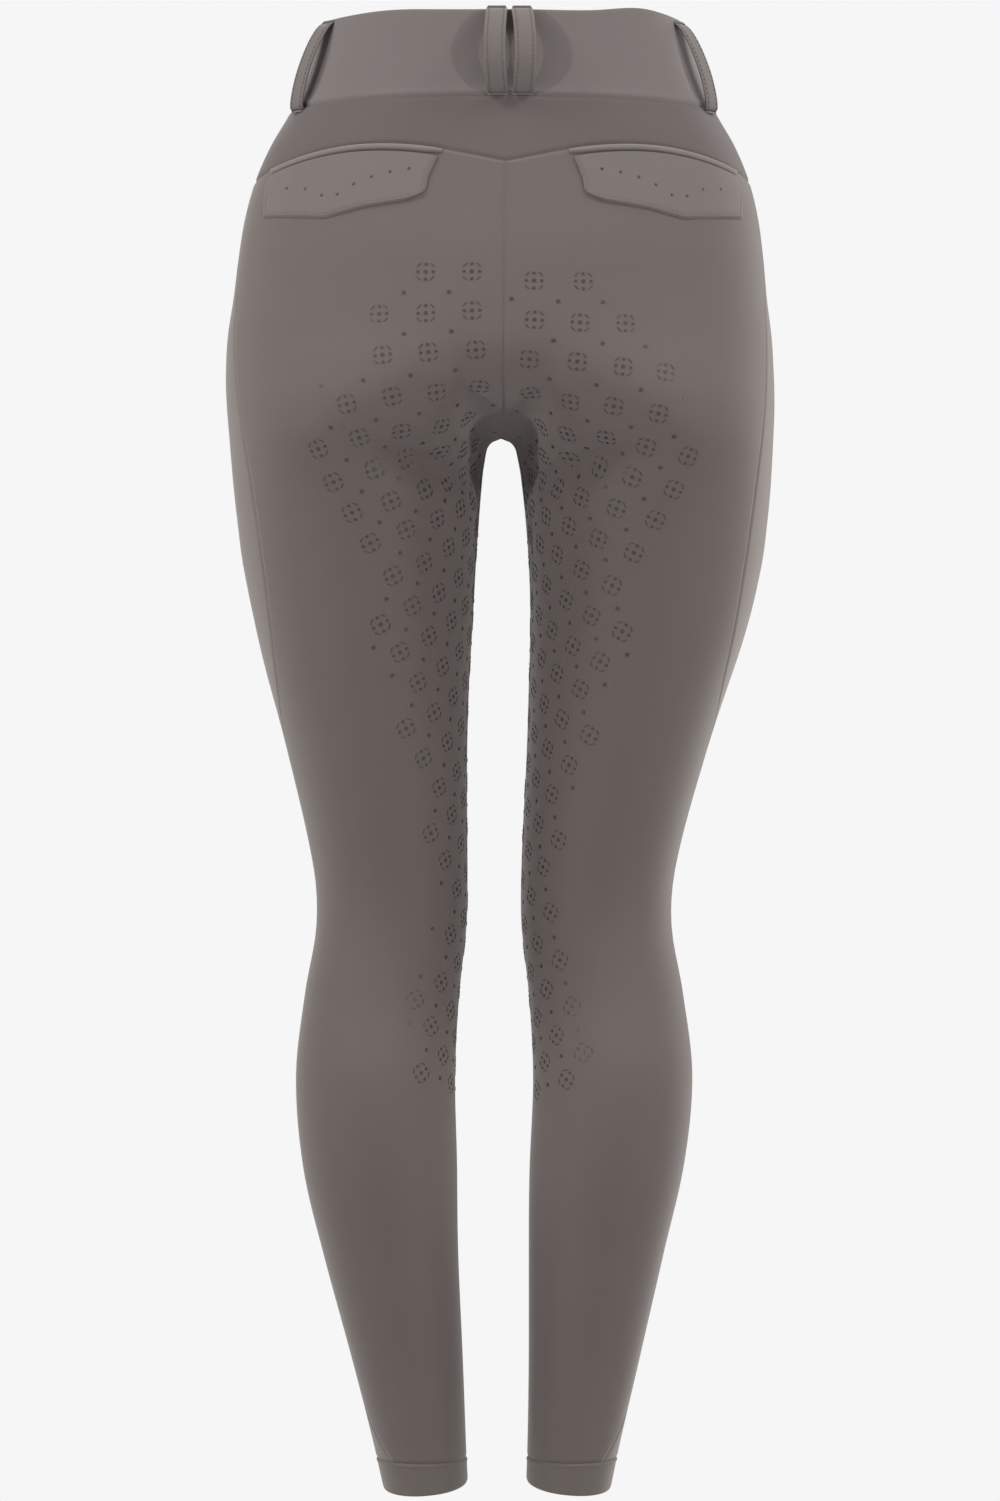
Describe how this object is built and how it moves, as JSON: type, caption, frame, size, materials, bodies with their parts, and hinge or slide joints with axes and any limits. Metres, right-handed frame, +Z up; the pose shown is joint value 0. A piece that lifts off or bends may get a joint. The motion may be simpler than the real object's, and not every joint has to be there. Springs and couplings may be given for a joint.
{
  "type": "riding breeches",
  "caption": "Full-seat riding breeches in stretch cloth, filled out with open waist and ankles, with wide waistband, belt loops, yoke, flapped back pockets and narrow hem bands.",
  "frame": {"origin": "centre of the waist opening, level with the top edge of the waistband, where the wearer's waist holds the garment", "axes": "+Z up along the body, -Y the way the wearer faces so the seat is on +Y, +X the wearer's left side"},
  "size_m": [0.3644, 0.2449, 0.9788],
  "materials": {
    "seat_cloth": "matt stretch knit",
    "front_cloth": "soft sheen stretch knit",
    "waist_cloth": "smooth double stretch knit",
    "yoke_cloth": "matt stretch knit",
    "trim_cloth": "folded and stitched stretch knit",
    "hem_cloth": "fine ribbed elastic knit",
    "button_metal": "dark satin"
  },
  "bodies": {
    "root": {"waistband": "waist_cloth", "yoke_back": "yoke_cloth", "back_left": "seat_cloth", "back_right": "seat_cloth", "front_left": "front_cloth", "front_right": "front_cloth", "welt_left": "trim_cloth", "welt_right": "trim_cloth", "flap_left": "trim_cloth", "flap_right": "trim_cloth", "loop_back_left": "trim_cloth", "loop_back_right": "trim_cloth", "loop_side_left": "trim_cloth", "loop_side_right": "trim_cloth", "loop_front_left": "trim_cloth", "loop_front_right": "trim_cloth", "hem_left": "hem_cloth", "hem_right": "hem_cloth", "zip_tape": "trim_cloth", "waistband_button": "button_metal"}
  },
  "joints": []
}
